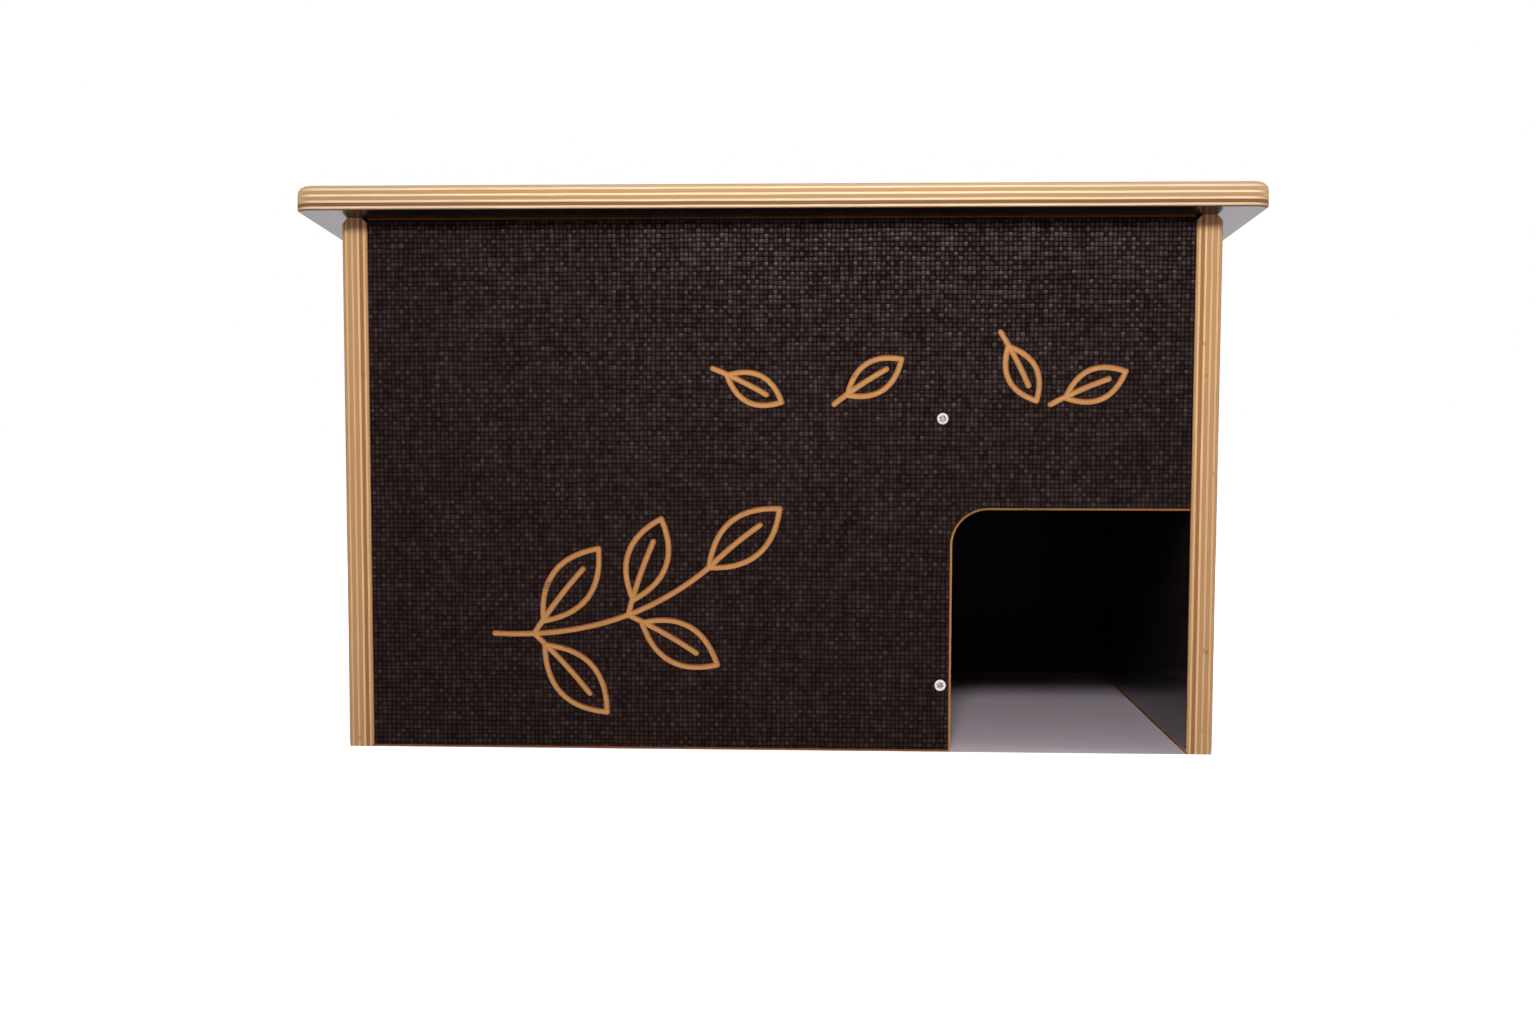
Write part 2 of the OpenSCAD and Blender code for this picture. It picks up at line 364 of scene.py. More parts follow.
class FaceFilm(Enum):
    """Kinds of film on a board's outer face; the inner face is always smooth."""

    WOVEN = "woven"
    SMOOTH = "smooth"


@dataclass(frozen=True)
class Film:
    """Dark resin film on the faces of the boards, in millimetres and in waves to the millimetre."""

    thickness: float = 0.28
    relief: float = 0.12
    gloss: float = 0.055

    thread_width: float = 2.5
    thread_height: float = 2.62
    thread_wander: float = 1.3
    wander_across: float = 0.12
    wander_along: float = 0.02
    upright_crown: float = 0.72
    yarn_step: float = 7.3
    yarn_wave: float = 0.05
    yarn_least: float = 0.35
    yarn_spread: float = 1.3
    crossing_least: float = 0.36
    crossing_spread: float = 0.72

    # Woven face: the near-black valley colour is painted shade between the threads, and the crest colour
    # is the film's own brown with a painted highlight.
    valley_shade_colour: Colour = (0.0030, 0.0002, 0.0001)
    lit_crest_colour: Colour = (0.0455, 0.0283, 0.0247)
    valley_roughness: float = 1.0
    crest_roughness: float = 0.3
    polished_heights: Span = (0.05, 0.4)
    cloud_wave: float = 0.035
    cloud_least: float = 0.75
    cloud_spread: float = 0.5

    smooth_colour: Colour = (0.0062, 0.0044, 0.0041)
    wiped_colour: Colour = (0.0105, 0.0076, 0.0071)
    smooth_roughness: float = 0.42
    wiped_roughness: float = 0.12
    smooth_height: float = 0.47
    wiped_height: float = 0.06
    wipe_along: float = 0.015
    wipe_across: float = 0.06
    wipe_detail: float = 4.0
    coat_index: float = 1.17
    coat_roughness: float = 0.16

    def weave(self, graph: Graph, u: Socket, v: Socket) -> Socket:
        """Height of the woven relief.

        Args:
            graph: Graph of the material.
            u: Place across the upright threads, in millimetres.
            v: Place across the level threads, in millimetres.

        Returns:
            Height from 0 between the threads to about 1 on the crossings that stand out most.
        """
        wander = graph.flat_noise(u * self.wander_across, v * self.wander_along, Sheet.FIRST)
        drift = graph.flat_noise(u * self.wander_along, v * self.wander_across, Sheet.DRIFT)
        column = (u + (wander - 0.5) * (self.thread_wander * 2)) / self.thread_width
        row = (v + (drift - 0.5) * (self.thread_wander * 2)) / self.thread_height
        upright = ((column.fraction() - 0.5) * math.pi).cosine()
        level = ((row.fraction() - 0.5) * math.pi).cosine()
        is_level_over = (column.floor() + row.floor()) % 2
        upright_over = upright * level.root() * self.upright_crown
        crown = graph.blend(is_level_over, upright_over, level * upright.root())
        upright_at = column.floor() * self.yarn_step
        level_at = row.floor() * self.yarn_step
        upright_yarn = graph.flat_noise(upright_at, v * self.yarn_wave, Sheet.UPRIGHT_YARN)
        level_yarn = graph.flat_noise(u * self.yarn_wave, level_at, Sheet.LEVEL_YARN)
        upright_share = self.yarn_least + self.yarn_spread * upright_yarn
        level_share = self.yarn_least + self.yarn_spread * level_yarn
        uneven = graph.speckle(column.floor(), row.floor())
        crossing = self.crossing_least + self.crossing_spread * uneven * uneven
        return crown * (upright_share * level_share) * crossing

    def woven_face(self, graph: Graph, u: Socket, v: Socket) -> Skin:
        """Film with the relief of a coarse cloth, whose colour holds painted shade in the hollows between
        threads and painted highlights on the crossings.

        Args:
            graph: Graph of the material.
            u: Place along the face fibres, in millimetres.
            v: Place across the face fibres, in millimetres.

        Returns:
            The film's skin.
        """
        height = self.weave(graph, u, v)
        clouds = graph.flat_noise(u, v, Sheet.CLOUDS, self.cloud_wave)
        # Painted shade and highlight: the colour runs from the shaded valley to the lit crest by the
        # weave's height.
        colour = graph.mix(height, self.valley_shade_colour, self.lit_crest_colour)
        polish = height.step(*self.polished_heights)
        roughness = graph.blend(polish, self.valley_roughness, self.crest_roughness)
        return Skin(
            graph.scaled(colour, self.cloud_least + self.cloud_spread * clouds), roughness, height
        )

    def smooth_face(self, graph: Graph, u: Socket, v: Socket) -> Skin:
        """Smooth film with faint clouds and wipe marks.

        Args:
            graph: Graph of the material.
            u: Place along the face fibres, in millimetres.
            v: Place across the face fibres, in millimetres.

        Returns:
            The film's skin.
        """
        along, across = u * self.wipe_along, v * self.wipe_across
        wipes = graph.flat_noise(along, across, Sheet.WIPES, detail=self.wipe_detail)
        return Skin(
            graph.mix(wipes, self.smooth_colour, self.wiped_colour),
            self.smooth_roughness + self.wiped_roughness * wipes,
            self.smooth_height + self.wiped_height * wipes,
        )


@dataclass(frozen=True)
class Plies:
    """Birch veneers that a board is glued from, in millimetres and in shares of 1."""

    pair: float = 3.36
    face_share: float = 0.6
    waviness: float = 0.16
    wave_scale: float = 0.02
    wave_change: float = 0.1
    wave_detail: float = 1.0

    long_grain: Colour = (0.73, 0.465, 0.242)
    end_grain: Colour = (0.455, 0.262, 0.113)
    roughness: float = 0.62
    relief: float = 0.35
    fibre: float = 26.0
    pore: float = 0.5
    grain_detail: float = 3.0
    least_tone: float = 0.58
    grain_tone: float = 0.66
    veneer_tone: float = 0.18

    heart: Colour = (0.33, 0.155, 0.055)
    heart_pair: float = 3.0
    heart_share: float = 0.85
    glue: Colour = (0.30, 0.165, 0.068)
    glue_line: float = 0.22
    glue_share: float = 0.45
    stain: Colour = (0.25, 0.110, 0.038)
    stain_depth: float = 1.0
    stain_share: float = 0.8
    flaw: Colour = (0.10, 0.045, 0.018)
    flaw_size: float = 9.0
    flaw_pair_step: float = 7.0
    flaw_cross_step: float = 3.0
    flaw_patches: Span = (0.78, 0.82)
    flaw_grain: Span = (0.45, 0.6)
    flaw_share: float = 0.75

    def grain(self, graph: Graph, along: Socket, across: Socket, depth: Socket) -> Socket:
        """Streaks of one veneer's fibres.

        Args:
            graph: Graph of the material.
            along: Place along the fibres, in millimetres.
            across: Place across the fibres, in millimetres.
            depth: Place below the board's outer face, in millimetres.

        Returns:
            Streaks from 0 to 1.
        """
        where = graph.joined(along / self.fibre, across / self.pore, depth / self.pore)
        return graph.noise(where, detail=self.grain_detail)


@dataclass(frozen=True)
class BoardLie:
    """How a board lies in the house: its outer face, the way into it and its grain, in metres."""

    outer: Vector
    inward: Vector
    thickness: float
    face_fibre: Vector
    cross_fibre: Vector

    @classmethod
    def of_node(cls, name: str, outward: Vector, face_fibre: Vector) -> "BoardLie":
        """Reads the lie of a board off its CAD node.

        Args:
            name: Name of the CAD node.
            outward: Rough direction from the board out of the house.
            face_fibre: Rough direction of the fibres under the film.

        Returns:
            The lie of the board.
        """
        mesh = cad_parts[name].data
        least_cosine = 0.5
        facing = (p for p in mesh.polygons if p.normal.dot(outward) > least_cosine)
        normal = max(facing, key=lambda p: p.area).normal.normalized()
        reach = [v.co.dot(normal) for v in mesh.vertices]
        fibre = (face_fibre - normal * face_fibre.dot(normal)).normalized()
        return cls(normal * max(reach), -normal, max(reach) - min(reach), fibre, normal.cross(fibre))


@dataclass(frozen=True)
class BoardFinish:
    """Material of a board, whose film and veneers follow from the depth below its outer face."""

    name: str
    lie: BoardLie
    outer_film: FaceFilm = FaceFilm.WOVEN
    film: Film = Film()
    plies: Plies = Plies()
    bare_foot: float = 0.0
    foot_waviness: float = 0.8
    sheen: float = 1.0

    def build(self) -> bpy.types.Material:
        """Builds the material.

        Returns:
            The material.
        """
        graph, material = Graph.of_material(self.name)
        film, lie = self.film, self.lie
        place = graph.place()
        depth = graph.along(place, lie.inward) - lie.outer.dot(lie.inward) / MM
        u = graph.along(place, lie.face_fibre)
        v = graph.along(place, lie.cross_fibre)
        on_outer = depth < film.thickness
        on_inner = depth > lie.thickness / MM - film.thickness
        wood_colour, grain = self.wood(graph, depth, u, v)
        foot = self.bare_foot + self.foot_waviness * (grain - 0.5)
        is_film = on_outer.largest(on_inner) * (graph.along(place, UP) > foot)
        skin = film.smooth_face(graph, u, v)
        coat = is_film * self.sheen
        if self.outer_film is FaceFilm.WOVEN:
            skin = film.woven_face(graph, u, v).over(on_outer, skin)
            coat = coat - coat * on_outer
        height = graph.blend(is_film, grain * self.plies.relief, skin.height)
        graph.surface(
            {
                "Base Color": graph.mix(is_film, wood_colour, skin.colour),
                "Roughness": graph.blend(is_film, self.plies.roughness, skin.roughness),
                "Specular IOR Level": film.gloss,
                "Coat Weight": coat,
                "Coat IOR": film.coat_index,
                "Coat Roughness": film.coat_roughness,
                "Normal": graph.bump(height, film.relief),
            }
        )
        return material

    def wood(self, graph: Graph, depth: Socket, u: Socket, v: Socket) -> tuple[Socket, Socket]:
        """Bare veneers on the edges and in routed grooves.

        Args:
            graph: Graph of the material.
            depth: Place below the outer face, in millimetres.
            u: Place along the face fibres, in millimetres.
            v: Place across the face fibres, in millimetres.

        Returns:
            Colour of the wood, and its grain from 0 to 1.
        """
        plies, thickness = self.plies, self.lie.thickness
        wave_at = graph.joined(u, v, depth * plies.wave_change)
        wave = graph.noise(wave_at, plies.wave_scale, plies.wave_detail) - 0.5
        pairs = (depth + wave * (plies.waviness * 2)) / plies.pair
        phase = pairs.fraction()
        is_cross = phase > plies.face_share
        facing = graph.normal()
        face_end = graph.along(facing, self.lie.face_fibre).magnitude()
        cross_end = graph.along(facing, self.lie.cross_fibre).magnitude()
        end_share = graph.blend(is_cross, face_end, cross_end)
        face_grain = plies.grain(graph, u, v, depth)
        cross_grain = plies.grain(graph, v, u, depth)
        grain = graph.blend(is_cross, face_grain, cross_grain)
        is_heart = ((pairs.floor() - plies.heart_pair).magnitude() < 0.5) * (1 - is_cross)
        veneer = graph.mix(end_share, plies.long_grain, plies.end_grain)
        plain = graph.mix(is_heart * plies.heart_share, veneer, plies.heart)
        sheet_tone = plies.veneer_tone * graph.speckle(pairs.floor(), is_cross, thickness)
        toned = graph.scaled(plain, plies.least_tone + plies.grain_tone * grain + sheet_tone)
        to_seam = (phase - plies.face_share).magnitude().least(phase).least(1 - phase)
        near_seam = 1 - to_seam.step(0.0, plies.glue_line / plies.pair)
        glued = graph.mix(near_seam * plies.glue_share, toned, plies.glue)
        to_face = depth.least(thickness / MM - depth)
        near_film = 1 - to_face.step(self.film.thickness, plies.stain_depth)
        stained = graph.mix(near_film * plies.stain_share, glued, plies.stain)
        sheet = pairs.floor() * plies.flaw_pair_step + is_cross * plies.flaw_cross_step
        flaw_at = graph.joined(u / plies.flaw_size, v / plies.flaw_size, sheet)
        patches = graph.noise(flaw_at, detail=0.0).step(*plies.flaw_patches)
        is_flaw = patches * grain.step(*plies.flaw_grain)
        return graph.mix(is_flaw * plies.flaw_share, stained, plies.flaw), grain


@dataclass(frozen=True)
class Steel:
    """Stainless steel with fine brush marks, in millimetres and in waves to the millimetre."""

    name: str
    colour: Colour
    roughness: float
    brush_roughness: float = 0.12
    brush_depth: float = 0.02
    brush_strength: float = 0.5
    brush_along: float = 0.25
    brush_across: float = 9.0
    brush_lean: float = 0.4
    brush_detail: float = 3.0
    cloud_wave: float = 0.2
    cloud_shade: float = 0.9

    def build(self) -> bpy.types.Material:
        """Builds the material.

        Returns:
            The material.
        """
        graph, material = Graph.of_material(self.name)
        place = graph.place()
        along = graph.along(place, RIGHT) * self.brush_along
        across = graph.along(place, UP + BACK * self.brush_lean) * self.brush_across
        marks = graph.flat_noise(along, across, Sheet.FIRST, detail=self.brush_detail)
        clouds = graph.noise(place, self.cloud_wave)
        shaded = tuple(c * self.cloud_shade for c in self.colour)
        graph.surface(
            {
                "Base Color": graph.mix(clouds, shaded, self.colour),
                "Metallic": 1.0,
                "Roughness": self.roughness + self.brush_roughness * (marks - 0.5),
                "Normal": graph.bump(marks, self.brush_depth, self.brush_strength),
            }
        )
        return material


def dress(piece: bpy.types.Object, material: bpy.types.Material) -> None:
    """Gives an object one material in place of those it has."""
    piece.data.materials.clear()
    piece.data.materials.append(material)


def smooth_round(mesh: bpy.types.Mesh, flat: Vector | None = None, corner: float = 32.0) -> None:
    """Shades the round parts of a mesh smoothly.

    Args:
        mesh: The mesh.
        flat: Direction of flat faces that keep their plain shading.
        corner: Angle in degrees above which a corner stays sharp.
    """
    least_cosine = 0.9999
    level = [flat is not None and abs(p.normal.dot(flat)) > least_cosine for p in mesh.polygons]
    mesh.polygons.foreach_set("use_smooth", [not is_level for is_level in level])
    mesh.set_sharp_from_angle(angle=math.radians(corner))


def mesh_of(shape: bmesh.types.BMesh, name: str) -> bpy.types.Mesh:
    """Makes a mesh out of a shape.

    Args:
        shape: The shape, which is freed.
        name: Name of the mesh.

    Returns:
        The mesh.
    """
    mesh = bpy.data.meshes.new(name)
    shape.to_mesh(mesh)
    shape.free()
    return mesh


def place_object(name: str, mesh: bpy.types.Mesh) -> bpy.types.Object:
    """Puts a mesh into the scene.

    Args:
        name: Name of the new object.
        mesh: Its mesh, in the part's frame.

    Returns:
        The object.
    """
    made = bpy.data.objects.new(name, mesh)
    bpy.context.scene.collection.objects.link(made)
    return made


def place_piece(name: str, mesh: bpy.types.Mesh, body: str, slot: str) -> bpy.types.Object:
    """Puts a new piece of the house into the scene.

    Args:
        name: Name of the piece.
        mesh: Its mesh, in the part's frame.
        body: CAD body that it rides on.
        slot: Name of a material slot; not used.

    Returns:
        The piece.
    """
    piece = place_object(name, mesh)
    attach(piece, body)
    return piece


@dataclass(frozen=True)
class RouterBit:
    """Round-nosed bit whose centre is lifted above the face that it cuts, in millimetres."""

    radius: float = 1.75
    lift: float = 0.4
    sides: int = 14
    cap_rings: int = 4

    def sweep(self, cut: bmesh.types.BMesh, path: Sequence[Vector], facing: Vector) -> None:
        """Adds the closed shape that the bit passes through.

        Args:
            cut: Mesh that the shape is added to.
            path: Way of the bit along the board's face, in metres.
            facing: Direction that the face looks to.
        """
        radius = self.radius * MM
        centres = [p + facing * (self.lift * MM) for p in path]
        ways = [
            (centres[min(i + 1, len(path) - 1)] - centres[max(i - 1, 0)]).normalized()
            for i in range(len(path))
        ]
        turns = [math.pi / 2 * k / self.cap_rings for k in range(1, self.cap_rings)]
        start = [(centres[0] - ways[0] * radius * math.cos(a), ways[0], math.sin(a)) for a in turns]
        end = [(centres[-1] + ways[-1] * radius * math.cos(a), ways[-1], math.sin(a)) for a in turns]
        stations = start + [(c, w, 1.0) for c, w in zip(centres, ways)] + end[::-1]
        angles = [2 * math.pi * k / self.sides for k in range(self.sides)]
        rings = []
        for centre, way, share in stations:
            side = way.cross(facing)
            spokes = [side * math.cos(a) + facing * math.sin(a) for a in angles]
            rings.append([cut.verts.new(centre + s * radius * share) for s in spokes])
        for first, second in zip(rings, rings[1:]):
            for k in range(self.sides):
                j = (k + 1) % self.sides
                cut.faces.new((first[k], first[j], second[j], second[k]))
        for ring, centre, way in (
            (rings[0], centres[0], -ways[0]),
            (rings[-1], centres[-1], ways[-1]),
        ):
            pole = cut.verts.new(centre + way * radius)
            for k in range(self.sides):
                cut.faces.new((pole, ring[k], ring[(k + 1) % self.sides]))


def bend(start: Vector, knee: Vector, end: Vector, share: float) -> Vector:
    """A point of a curve that leaves its start towards a knee and reaches its end from there."""
    return start * (1 - share) ** 2 + knee * (2 * share * (1 - share)) + end * share**2


def bow(start: Vector, end: Vector, bulge: float, count: int = 14) -> list[Vector]:
    """Points along a bowed line.

    Args:
        start: First point, in the plane of the drawing.
        end: Last point.
        bulge: Height of the bow to the left of the line, as a share of its length.
        count: Number of stretches between the points.

    Returns:
        The points.
    """
    span = end - start
    knee = (start + end) / 2 + Vector((-span.y, span.x)) * (bulge * 2)
    return [bend(start, knee, end, k / count) for k in range(count + 1)]


@dataclass(frozen=True)
class Leaf:
    """A pointed leaf in line drawing, in millimetres on the front panel and in degrees."""

    foot: Flat
    angle: float
    length: float
    plump: float = 0.23
    stalk: float = 9.0
    midrib: float = 0.72
    midrib_bow: float = 0.02

    def strokes(self) -> Iterator[list[Vector]]:
        """Draws the leaf.

        Yields:
            The points of its two sides, and of its midrib with the stalk.
        """
        way = Vector((math.cos(math.radians(self.angle)), math.sin(math.radians(self.angle))))
        foot = Vector(self.foot)
        base = foot + way * self.stalk
        tip = base + way * self.length
        for hand in (-1, 1):
            yield bow(base, tip, hand * self.plump)
        yield bow(foot, base + way * (self.length * self.midrib), self.midrib_bow)


@dataclass(frozen=True)
class LeafSpray:
    """A twig with leaves on both sides, and loose leaves that drift down beside it."""

    stem: tuple[Flat, Flat, Flat] = ((-160.0, 66.0), (-88.0, 62.0), (-38.0, 104.0))
    stem_steps: int = 30
    leaf_shares: tuple[float, ...] = (0.16, 0.58)
    leaf_turn: float = 50.0
    leaf_length: float = 52.0
    leaf_loss: float = 0.06
    loose: tuple[Leaf, ...] = (
        Leaf((-36.0, 216.0), angle=-26.0, length=34.0, plump=0.24),
        Leaf((32.0, 196.0), angle=34.0, length=36.0, plump=0.24),
        Leaf((124.0, 236.0), angle=-62.0, length=34.0, plump=0.24),
        Leaf((152.0, 196.0), angle=24.0, length=36.0, plump=0.24),
    )

    def stem_at(self, share: float) -> tuple[Vector, float]:
        """A point of the stem.

        Args:
            share: Place along the stem, from 0 to 1.

        Returns:
            The point, and the stem's direction there in degrees.
        """
        start, knee, end = (Vector(p) for p in self.stem)
        way = (knee - start) * (1 - share) + (end - knee) * share
        return bend(start, knee, end, share), math.degrees(math.atan2(way.y, way.x))

    def strokes(self) -> Iterator[list[Vector]]:
        """Draws the twig and the loose leaves.

        Yields:
            The points of each line.
        """
        yield [self.stem_at(k / self.stem_steps)[0] for k in range(self.stem_steps + 1)]
        for number, share in enumerate(self.leaf_shares):
            point, heading = self.stem_at(share)
            length = self.leaf_length * (1 - self.leaf_loss * number)
            for hand in (-1, 1):
                yield from Leaf(tuple(point), heading + hand * self.leaf_turn, length).strokes()
        point, heading = self.stem_at(1.0)
        yield from Leaf(tuple(point), heading, self.leaf_length, stalk=0.0).strokes()
        for leaf in self.loose:
            yield from leaf.strokes()


@dataclass
class Walls:
    """The four walls and the divider; the front panel carries a routed drawing."""

    body: str = "house"
    slot: str = "film_board"
    front: str = "front_panel"
    sanded_foot: float = 2.7
    dull_sheen: float = 0.1
    film: Film = Film()
    dull_film: Film = Film(gloss=0.015)
    drawing: LeafSpray = LeafSpray()
    bit: RouterBit = RouterBit()
    routed_plies: Plies = Plies(
        long_grain=(0.62, 0.325, 0.125),
        end_grain=(0.58, 0.32, 0.130),
        glue=(0.40, 0.21, 0.085),
        stain=(0.34, 0.140, 0.038),
        stain_depth=2.0,
    )

    def dress_boards(self) -> Iterator[str]:
        """Gives each plain board its finish.

        Yields:
            The name of each board.
        """
        dull = {"film": self.dull_film, "sheen": self.dull_sheen}
        sanded = {"film": self.film, "bare_foot": self.sanded_foot}
        for name, outward, fibre, looks in (
            ("back_panel", BACK, RIGHT, dull),
            ("left_side_panel", -RIGHT, BACK, sanded),
            ("right_side_panel", RIGHT, BACK, sanded),
            ("divider_panel", -RIGHT, BACK, dull | {"outer_film": FaceFilm.SMOOTH}),
        ):
            finish = BoardFinish(f"{name}_finish", BoardLie.of_node(name, outward, fibre), **looks)
            dress(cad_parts[name], finish.build())
            yield name

    def rout_front(self) -> bpy.types.Object:
        """Builds the front panel with its routed drawing, in place of the plain CAD board.

        Returns:
            The routed panel.
        """
        lie = BoardLie.of_node(self.front, -BACK, RIGHT)
        mesh = self.carved(lie)
        smooth_round(mesh, lie.inward)
        piece = place_piece("front_panel_routed", mesh, self.body, self.slot)
        finish = BoardFinish("front_panel_finish", lie, film=self.film, plies=self.routed_plies)
        dress(piece, finish.build())
        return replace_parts(piece, self.front)

    def carved(self, lie: BoardLie) -> bpy.types.Mesh:
        """Cuts the drawing into a copy of the CAD board.

        Args:
            lie: How the front panel lies.

        Returns:
            The cut mesh.
        """
        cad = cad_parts[self.front].data
        plain = bpy.data.meshes.new("plain_board")
        plain.from_pydata([v.co for v in cad.vertices], [], [p.vertices[:] for p in cad.polygons])
        board = bmesh.new()
        board.from_mesh(plain)
        bmesh.ops.remove_doubles(board, verts=board.verts, dist=WELD)
        cut = bmesh.new()
        for stroke in self.drawing.strokes():
            path = [Vector((p.x * MM, lie.outer.y, p.y * MM)) for p in stroke]
            self.bit.sweep(cut, path, -lie.inward)
        bmesh.ops.recalc_face_normals(cut, faces=cut.faces)
        whole = place_object("whole_board", mesh_of(board, "whole_board"))
        tool = place_object("bit_path", mesh_of(cut, "bit_path"))
        carve = whole.modifiers.new("carve", "BOOLEAN")
        carve.operation = "DIFFERENCE"
        carve.solver = "EXACT"
        carve.use_self = True
        carve.object = tool
        bpy.context.view_layer.update()
        evaluated = whole.evaluated_get(bpy.context.evaluated_depsgraph_get())
        mesh = bpy.data.meshes.new_from_object(evaluated)
        for scratch in (whole, tool):
            bpy.data.objects.remove(scratch)
        return mesh


@dataclass
class Roof:
    """The hinged roof board."""

    node: str = "roof_panel"
    film: Film = Film(crest_roughness=0.6)
    sheen: float = 0.88
    plies: Plies = Plies(
        long_grain=(0.76, 0.580, 0.365), end_grain=(0.425, 0.262, 0.126), heart=(0.165, 0.074, 0.026)
    )

    @classmethod
    def lie(cls) -> BoardLie:
        """How the roof board lies when it is closed."""
        return BoardLie.of_node(cls.node, UP, BACK)

    def dress_board(self) -> str:
        """Gives the roof board its finish.

        Returns:
            The name of the board.
        """
        looks = {"film": self.film, "plies": self.plies, "sheen": self.sheen}
        finish = BoardFinish("roof_panel_finish", self.lie(), **looks)
        dress(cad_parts[self.node], finish.build())
        return self.node


@dataclass
class Hinges:
    """The two butt hinges: their leaves and pins."""

    finish: Steel = Steel("hinge_steel", (0.50, 0.49, 0.475), 0.36)

    def dress_hinges(self) -> Iterator[str]:
        """Gives leaves and pins their finish.

        Yields:
            The name of each leaf or pin.
        """
        material = self.finish.build()
        for side in ("left", "right"):
            for part in ("wall_leaf", "roof_leaf", "pin"):
                name = f"{side}_hinge_{part}"
                dress(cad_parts[name], material)
                yield name


@dataclass(frozen=True)
class ScrewRow:
    """A CAD node that holds a row of like screws, its body and the way that they go in."""

    node: str
    body: str
    way: Vector


@dataclass
class Screws:
    """Countersunk screws with a lobed recess, in radii of the head; tapers and drill depth are shares."""

    finish: Steel = Steel("screw_steel", (0.60, 0.555, 0.55), 0.2)
    slot: str = "stainless_screw"
    lobes: int = 6
    recess_radius: float = 0.52
    recess_lobe: float = 0.085
    recess_depth: float = 0.85
    recess_taper: float = 0.8
    drill_radius: float = 0.06
    drill_depth: float = 1.3
    edge_break: float = 0.05
    shank: float = 0.53
    tip_share: float = 0.1
    sides: int = 48

    def rows(self) -> Iterator[ScrewRow]:
        """Lists the rows of screws in the house.

        Yields:
            Each row.
        """
        roof_up = -Roof.lie().inward
        yield ScrewRow("divider_front_screws", "house", BACK)
        yield ScrewRow("divider_back_screws", "house", -BACK)
        for side, way in (("left", RIGHT), ("right", -RIGHT)):
            yield ScrewRow(f"{side}_front_screws", "house", way)
            yield ScrewRow(f"{side}_back_screws", "house", way)
            yield ScrewRow(f"{side}_hinge_wall_screws", "house", -BACK)
            yield ScrewRow(f"{side}_hinge_roof_screws", "roof", roof_up)

    def build(self) -> Iterator[str]:
        """Builds the screws in place of their plain CAD shapes.

        Yields:
            The name of each piece, which holds a row of screws.
        """
        material = self.finish.build()
        for row in self.rows():
            shape = bmesh.new()
            for solid in self.solids(row.node):
                self.screw(shape, solid, row.way)
            bmesh.ops.recalc_face_normals(shape, faces=shape.faces)
            mesh = mesh_of(shape, row.node)
            smooth_round(mesh)
            piece = place_piece(f"{row.node}_lobed", mesh, row.body, self.slot)
            dress(piece, material)
            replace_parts(piece, row.node)
            yield piece.name

    @staticmethod
    def solids(node: str) -> Iterator[list[Vector]]:
        """Takes the screws of a CAD node apart.

        Args:
            node: Name of the CAD node.

        Yields:
            The corners of each separate screw.
        """
        shape = bmesh.new()
        shape.from_mesh(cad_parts[node].data)
        bmesh.ops.remove_doubles(shape, verts=shape.verts, dist=WELD)
        shape.verts.index_update()
        shape.verts.ensure_lookup_table()
        left = set(range(len(shape.verts)))
        while left:
            island, edge = [], [left.pop()]
            while edge:
                corner = shape.verts[edge.pop()]
                island.append(corner.co.copy())
                near = {e.other_vert(corner).index for e in corner.link_edges} & left
                left -= near
                edge.extend(near)
            yield island
        shape.free()

    def screw(self, shape: bmesh.types.BMesh, solid: Sequence[Vector], way: Vector) -> None:
        """Adds one screw.

        Args:
            shape: Mesh that the screw is added to.
            solid: Corners of the plain CAD screw that it stands for.
            way: Direction that the screw goes in.
        """
        depths = [c.dot(way) for c in solid]
        head_at, length = min(depths), max(depths) - min(depths)
        flat = [c - way * c.dot(way) for c in solid]
        centre = sum(flat, Vector()) / len(flat)
        radius = max((c - centre).length for c in flat)
        first = way.orthogonal().normalized()
        second = way.cross(first)
        origin = centre + way * head_at
        rings = []
        for scale, lobed, depth in self.profile(length / radius):
            ring = []
            for k in range(self.sides):
                turn = 2 * math.pi * k / self.sides
                wave = self.recess_lobe * math.cos(self.lobes * turn) if lobed else 0.0
                spoke = first * math.cos(turn) + second * math.sin(turn)
                reach = spoke * ((scale + wave) * radius)
                ring.append(shape.verts.new(origin + reach + way * (depth * radius)))
            rings.append(ring)
        for inner, outer in zip(rings, rings[1:]):
            for k in range(self.sides):
                j = (k + 1) % self.sides
                shape.faces.new((inner[k], inner[j], outer[j], outer[k]))
        shape.faces.new(rings[0])
        shape.faces.new(rings[-1])

    def profile(self, length: float) -> list[tuple[float, bool, float]]:
        """Rings of a screw from the floor of its recess over the head to its tip.

        Args:
            length: Length of the screw in head radii.

        Returns:
            Radius, whether it has lobes, and depth below the head's face, in head radii.
        """
        cone = 1 - self.shank + self.edge_break
        return [
            (self.drill_radius, False, self.recess_depth * self.drill_depth),
            (self.recess_radius * self.recess_taper, True, self.recess_depth),
            (self.recess_radius, True, self.edge_break),
            (self.recess_radius + self.edge_break, True, 0.0),
            (1 - self.edge_break, False, 0.0),
            (1.0, False, self.edge_break),
            (self.shank, False, cone),
            (self.shank, False, length - 2 * self.shank),
            (self.shank * self.tip_share, False, length),
        ]


class Reach(Enum):
    """What a lamp adds to: the colours, the sheen or both."""

    COLOUR = "colour"
    SHEEN = "sheen"
    BOTH = "both"


